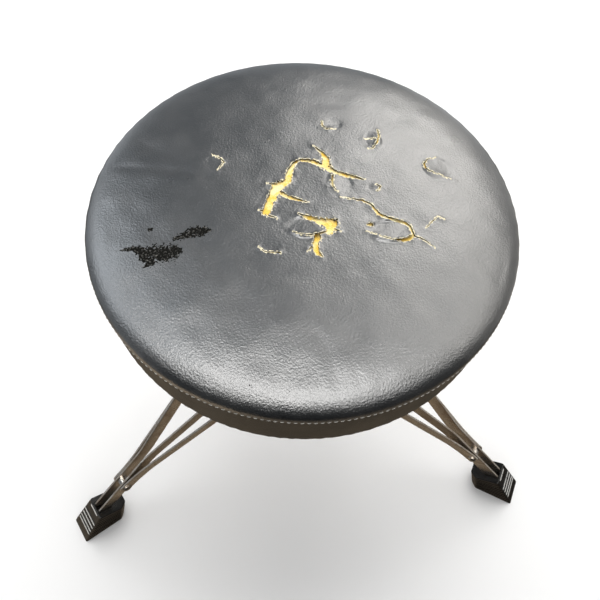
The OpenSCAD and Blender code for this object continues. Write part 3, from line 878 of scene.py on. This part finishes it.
def press_foam(pad, height):
    """Fits the foam's top under the vinyl, and where the vinyl dips, so that the two stay apart.

    In the middle it follows the vinyl 1 mm below it. Near the rim it is only held down.
    """
    places = vertex_array(pad)
    plan = places[:, :2] / MM
    upper = places[:, 2] > SEAM_Z + 4 * MM
    ceiling = height(plan) - 1.02 * MM
    dip = np.minimum(surface_detail(plan), 0) - 0.15 + 0.14 * ripple(plan, 3.4, 0.9)
    radius = np.hypot(places[:, 0], places[:, 1])
    share = np.clip((0.93 * SEAT_R - radius) / (0.10 * SEAT_R), 0, 1)
    held = np.minimum(places[:, 2], ceiling - 0.48 * MM)
    close = ceiling * share + held * (1 - share)
    places[:, 2] = np.where(upper, close + dip * MM, places[:, 2])
    set_vertex_array(pad, places)


pad = dress(build_foam(), "foam")
surface = pad_height(pad)
top = dress(build_vinyl_top(surface), "vinyl_top", "backing", "residue_and_hole_shade")
side = dress(build_vinyl_side(), "vinyl_side", "backing")
stitches = dress(build_stitches(), "thread")
press_foam(pad, surface)

for piece, node, slot in ((pad, "foam_pad", "foam"), (top, "cover_top", "vinyl_top"),
                          (side, "cover_side", "vinyl_side")):
    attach(piece, "seat")
    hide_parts(node)
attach(stitches, "seat")

# ---- CAD nodes ----

# Endings of node names, and the material of each
NODE_LOOKS = {
    "seat_board": "plywood", "hem_staples": "plated_steel", "t_nuts": "plated_steel",
    "seat_socket": "cast_metal", "socket_bolts": "plated_steel", "socket_wing_bolt": "chrome",
    "seat_post": "chrome", "post_glide": "nylon",
    "memory_lock": "chrome", "memory_lock_screw": "plated_steel",
    "centre_tube": "chrome", "tube_bush": "black_plastic", "tube_cap": "black_plastic",
    "leg_collar": "cast_metal", "collar_grub_screws": "black_steel", "height_wing_bolt": "chrome",
    "brace_hub": "cast_metal", "hub_wing_bolt": "chrome", "hub_stop_ring": "plated_steel",
    "strap_a": "strap_chrome", "strap_b": "strap_chrome",
    "leg_pin": "plated_steel", "brace_pin": "plated_steel", "leg_spacer": "plated_steel",
    "leg_rivet": "plated_steel", "brace_rivets": "plated_steel",
}


def soften_edges(obj, width):
    """Small bevels that catch the light on a CAD node's edges, as modifiers: its mesh stays."""
    weld = obj.modifiers.new("weld", "WELD")
    weld.merge_threshold = 0.01 * MM
    bevel = obj.modifiers.new("bevel", "BEVEL")
    bevel.width = width
    bevel.segments = 2
    bevel.limit_method = "ANGLE"
    bevel.angle_limit = math.radians(40)
    bevel.harden_normals = True


for node_name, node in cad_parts.items():
    for ending, look_name in NODE_LOOKS.items():
        if node_name.endswith(ending):
            dress(node, look_name)
            if look_name == "strap_chrome":
                soften_edges(node, 0.5 * MM)

# ---- feet ----

FOOT_TURNS = {"right": 330, "rear": 90, "left": 210}
LEG_SLOPE = Vector((1, 0, -1)).normalized()

# A foot, in millimetres. The corners of its profile are in radius and height: heel, toe, top of the
# toe, top of the heel. The mouth is where the straps enter
FOOT_PROFILE = ((275, 0), (331, 0), (295, 50), (264, 29))
FOOT_MOUTH = (286.1, 0, 43.9)
FOOT_HALF_WIDTHS = (16.4, 13.9)     # at the sole and at the top
HEEL_CUT = 6.5
SIDE_RIDGES = 9

# Ribs across the toe: height as a share of the way up, and width as a share of the foot's
RIBS = ((0.30, 1.0), (0.41, 1.0), (0.54, 1.0), (0.67, 1.0), (0.955, 0.72))
RIB_HALF = 0.017
RIB_RISE = 1.25


# Points added along each side of an outline, from the toe edge round
OUTLINE_FILL = (24, 10, 2, 8, 2, 10)


def cut_outline(x_heel, x_toe, half, cut, fillet):
    """Closed outline of a rectangle with cut heel corners and small fillets, from its toe edge."""
    corners = [(x_toe, -half), (x_toe, half), (x_heel + cut, half), (x_heel, half - cut),
               (x_heel, cut - half), (x_heel + cut, -half)]
    corners = [Vector(c) for c in corners]
    bends = []
    for k, corner in enumerate(corners):
        to_last = (corners[k - 1] - corner).normalized() * fillet
        to_next = (corners[(k + 1) % 6] - corner).normalized() * fillet
        bends.append([corner + to_last * (1 - t) ** 2 + to_next * t ** 2
                      for t in (0, 0.25, 0.5, 0.75, 1)])
    line = []
    for k, bend in enumerate(bends):
        line += bend
        start, end = bend[-1], bends[(k + 1) % 6][0]
        count = OUTLINE_FILL[k] + 1
        line += [start.lerp(end, n / count) for n in range(1, count)]
    return line


def build_foot(name, degrees):
    """Rubber foot with ribs across its toe, ridges on its sides and a slot for the leg straps."""
    heel, toe, top_toe, top_heel = FOOT_PROFILE
    half_low, half_high = FOOT_HALF_WIDTHS
    shares = {round(0.012 + 0.976 * i / 54, 4) for i in range(55)}
    shares |= {round(at + step * RIB_HALF, 4) for at, _ in RIBS
               for step in (-1, -0.8, -0.45, 0, 0.45, 0.8, 1) if at + step * RIB_HALF < 0.985}
    rows, wear = [], []

    def level(share, inset=0.0, lift=0.0):
        """One ring of the foot, at a share of the way up from its sole to its sloping top."""
        x_heel = heel[0] + (top_heel[0] - heel[0]) * share
        x_toe = toe[0] + (top_toe[0] - toe[0]) * share
        z_heel, z_toe = top_heel[1] * share, top_toe[1] * share
        half = half_low + (half_high - half_low) * share
        row, worn = [], []
        ridged = 0.03 < share < 0.93 and not inset
        ridge = math.tanh(2.5 * math.sin(2 * math.pi * share * SIDE_RIDGES)) if ridged else 0
        for x, y in cut_outline(x_heel + inset, x_toe - inset, half - inset, HEEL_CUT, 1.6):
            crest = 0.0
            if x > x_toe - 0.3 and not inset:
                for at, width in RIBS:
                    end = min(1, max(0, (half * width - 1.2 - abs(y)) / 0.8))
                    arch = math.sqrt(max(0, 1 - ((share - at) / RIB_HALF) ** 2))
                    crest = max(crest, end * arch)
            elif abs(y) > half - inset - 0.05:
                y += math.copysign(0.42 * ridge - 0.21, y)
            t = (x - x_heel) / (x_toe - x_heel)
            row.append((x + RIB_RISE * crest, y, z_heel + (z_toe - z_heel) * t + lift))
            # The ribs' crests go into the wear attribute, where the rubber is painted pale: scuffs,
            # and a painted highlight.
            worn.append(crest)
        rows.append(row)
        wear.extend(worn)

    level(0.0, 4.2, 1.2)
    level(0.0, 3.6)
    level(0.0, 0.8)
    for share in sorted(shares):
        level(share)
    level(1.0, 0.5, -0.1)
    level(1.0, 0.95)

    # the slot's rim, then its walls down along the straps
    top_dir = Vector((top_toe[0] - top_heel[0], 0, top_toe[1] - top_heel[1])).normalized()
    mouth = Vector(FOOT_MOUTH)
    slot = [mouth + top_dir * u + Vector((0, y, 0))
            for u, y in cut_outline(-8.6, 8.6, 6.9, 0.6, 0.2)]
    for inset, depth in ((1.03, 0.0), (1.0, 0.6), (1.0, 4.5), (1.0, 8.5)):
        rows.append([tuple(mouth + (p - mouth) * inset + LEG_SLOPE * depth) for p in slot])
        wear.extend([0.0] * len(slot))
    around = len(slot)
    verts = [Vector(p) * MM for row in rows for p in row]
    faces = grid_faces(len(rows), around)
    faces.append(tuple(reversed(range(around))))
    faces.append(tuple((len(rows) - 1) * around + j for j in range(around)))
    foot = add_object(name + "_rubber_foot", verts, faces)
    set_wear_and_painted_light(foot, wear)
    foot.data.transform(Matrix.Rotation(math.radians(degrees), 4, "Z"))
    foot.data.set_sharp_from_angle(angle=math.radians(40))
    dress(foot, "rubber")
    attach(foot, name + "_leg")
    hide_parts(name + "_foot")


for name, degrees in FOOT_TURNS.items():
    build_foot(name, degrees)

# ---- room, light and camera ----

FLOOR_HALF = 40


def build_floor():
    """Plain pale floor, wide enough to reach the horizon in every view."""
    look = Look("floor", 0.7)
    tone = look.noise(0.4, 3, 0.5)
    look.set(Base_Color=look.mix(tone, (0.86, 0.86, 0.86), (0.88, 0.88, 0.88)))
    corners = [(x * FLOOR_HALF, y * FLOOR_HALF, 0) for x, y in ((-1, -1), (1, -1), (1, 1), (-1, 1))]
    floor = add_object("floor", corners, [(0, 1, 2, 3)], smooth=False)
    floor.data.materials.append(look.material)
    floor.visible_glossy = False
    floor.visible_shadow = False


WARM, NEUTRAL = (1.0, 0.975, 0.93), (1.0, 0.99, 0.97)
COOL, BROWN = (0.88, 0.94, 1.0), (1.0, 0.80, 0.58)

# Studio softboxes that only glossy surfaces see, round the seat's middle. In degrees: azimuth,
# elevation, width and height; then radiance and colour
SOFTBOXES = {
    "front_top": (-106, 71, 62, 27, 7.6, NEUTRAL),
    "top_right": (24, 66, 34, 22, 2.0, NEUTRAL),
    "top_back": (88, 74, 40, 10, 0.6, COOL),
    "back_right": (58, 38, 24, 28, 5.2, WARM),
    "right": (12, 43, 52, 28, 3.0, WARM),
    "back": (76, 38, 12, 36, 1.7, NEUTRAL),
    "back_left": (106, 42, 44, 48, 0.34, COOL),
    "left_high": (165, 57, 34, 20, 1.6, COOL),
    "left_low": (158, 33, 38, 24, 3.4, COOL),
    "ground": (-90, -84, 100, 100, 0.20, BROWN),
    "ground_left": (-150, -42, 50, 26, 0.62, BROWN),
    "ground_right": (30, -34, 40, 12, 0.5, WARM),
    "horizon_right": (2, 4, 44, 34, 0.45, WARM),
    "horizon_back_right": (46, 0, 40, 30, 0.7, NEUTRAL),
    "horizon_back": (92, 2, 46, 22, 0.45, COOL),
    "horizon_back_left": (138, 2, 42, 26, 0.8, COOL),
    "horizon_left": (182, 2, 40, 34, 0.4, COOL),
    "horizon_front_left": (-138, -4, 36, 20, 0.14, COOL),
    "horizon_front_right": (-44, -4, 36, 20, 0.10, WARM),
    "low_right": (8, -20, 56, 22, 0.35, WARM),
    "low_back": (90, -20, 80, 22, 0.40, COOL),
    "low_left": (172, -20, 56, 22, 0.32, COOL),
}
SOFTBOX_FAR = 2.6

KEY_PLACE = (0.1, 1.15, 2.4)
KEY_SIZE = 2.0
KEY_RADIANCE = 5.4
SKY = (0.98, 0.99, 1.0, 1)
SKY_STRENGTH = 0.55


def area_light(name, place, target, size, radiance, colour):
    """Rectangular light that faces a target point and isn't itself seen by the camera."""
    data = bpy.data.lights.new(name, "AREA")
    data.shape = "RECTANGLE"
    data.size, data.size_y = size
    data.energy = radiance * math.pi * size[0] * size[1]
    data.color = colour
    lamp = bpy.data.objects.new(name, data)
    lamp.location = place
    lamp.rotation_euler = (Vector(target) - Vector(place)).to_track_quat("-Z", "Y").to_euler()
    lamp.visible_camera = False
    bpy.context.scene.collection.objects.link(lamp)
    return lamp


def build_lights():
    """A pale sky and a soft key light from behind for matt surfaces, and softboxes for gloss."""
    middle = Vector((0, 0, SEAM_Z))
    for name, (azimuth, elevation, width, height, radiance, colour) in SOFTBOXES.items():
        a, e = math.radians(azimuth), math.radians(elevation)
        way = Vector((math.cos(a) * math.cos(e), math.sin(a) * math.cos(e), math.sin(e)))
        size = [2 * SOFTBOX_FAR * math.tan(math.radians(angle / 2)) for angle in (width, height)]
        lamp = area_light(name, middle + way * SOFTBOX_FAR, middle, size, radiance, colour)
        lamp.visible_diffuse = False
    key = area_light("key", KEY_PLACE, middle, (KEY_SIZE, KEY_SIZE), KEY_RADIANCE, NEUTRAL)
    key.visible_glossy = False
    world = bpy.data.worlds.new("studio")
    bpy.context.scene.world = world
    world.use_nodes = True
    backdrop = world.node_tree.nodes["Background"]
    backdrop.inputs["Color"].default_value = SKY
    backdrop.inputs["Strength"].default_value = SKY_STRENGTH
    world.cycles_visibility.glossy = False


build_floor()
build_lights()

# The camera, fitted to the photograph: lens and sensor in millimetres, place, and the directions
# of the picture's right and top
CAMERA_LENS = 33.0
CAMERA_SENSOR = 36.0
CAMERA_PLACE = (-0.03685, -0.25734, 0.7712)
CAMERA_RIGHT = Vector((0.9957, -0.08695, 0.03206)).normalized()
CAMERA_UP = Vector((0.06183, 0.88098, 0.46909)).normalized()


def build_camera():
    data = bpy.data.cameras.new("camera")
    data.lens = CAMERA_LENS
    data.sensor_width = CAMERA_SENSOR
    camera = bpy.data.objects.new("camera", data)
    bpy.context.scene.collection.objects.link(camera)
    back = CAMERA_RIGHT.cross(CAMERA_UP).normalized()
    turn = Matrix((CAMERA_RIGHT, back.cross(CAMERA_RIGHT), back)).transposed()
    camera.matrix_world = Matrix.Translation(CAMERA_PLACE) @ turn.to_4x4()
    bpy.context.scene.camera = camera


build_camera()
bpy.context.scene.view_settings.view_transform = "Standard"
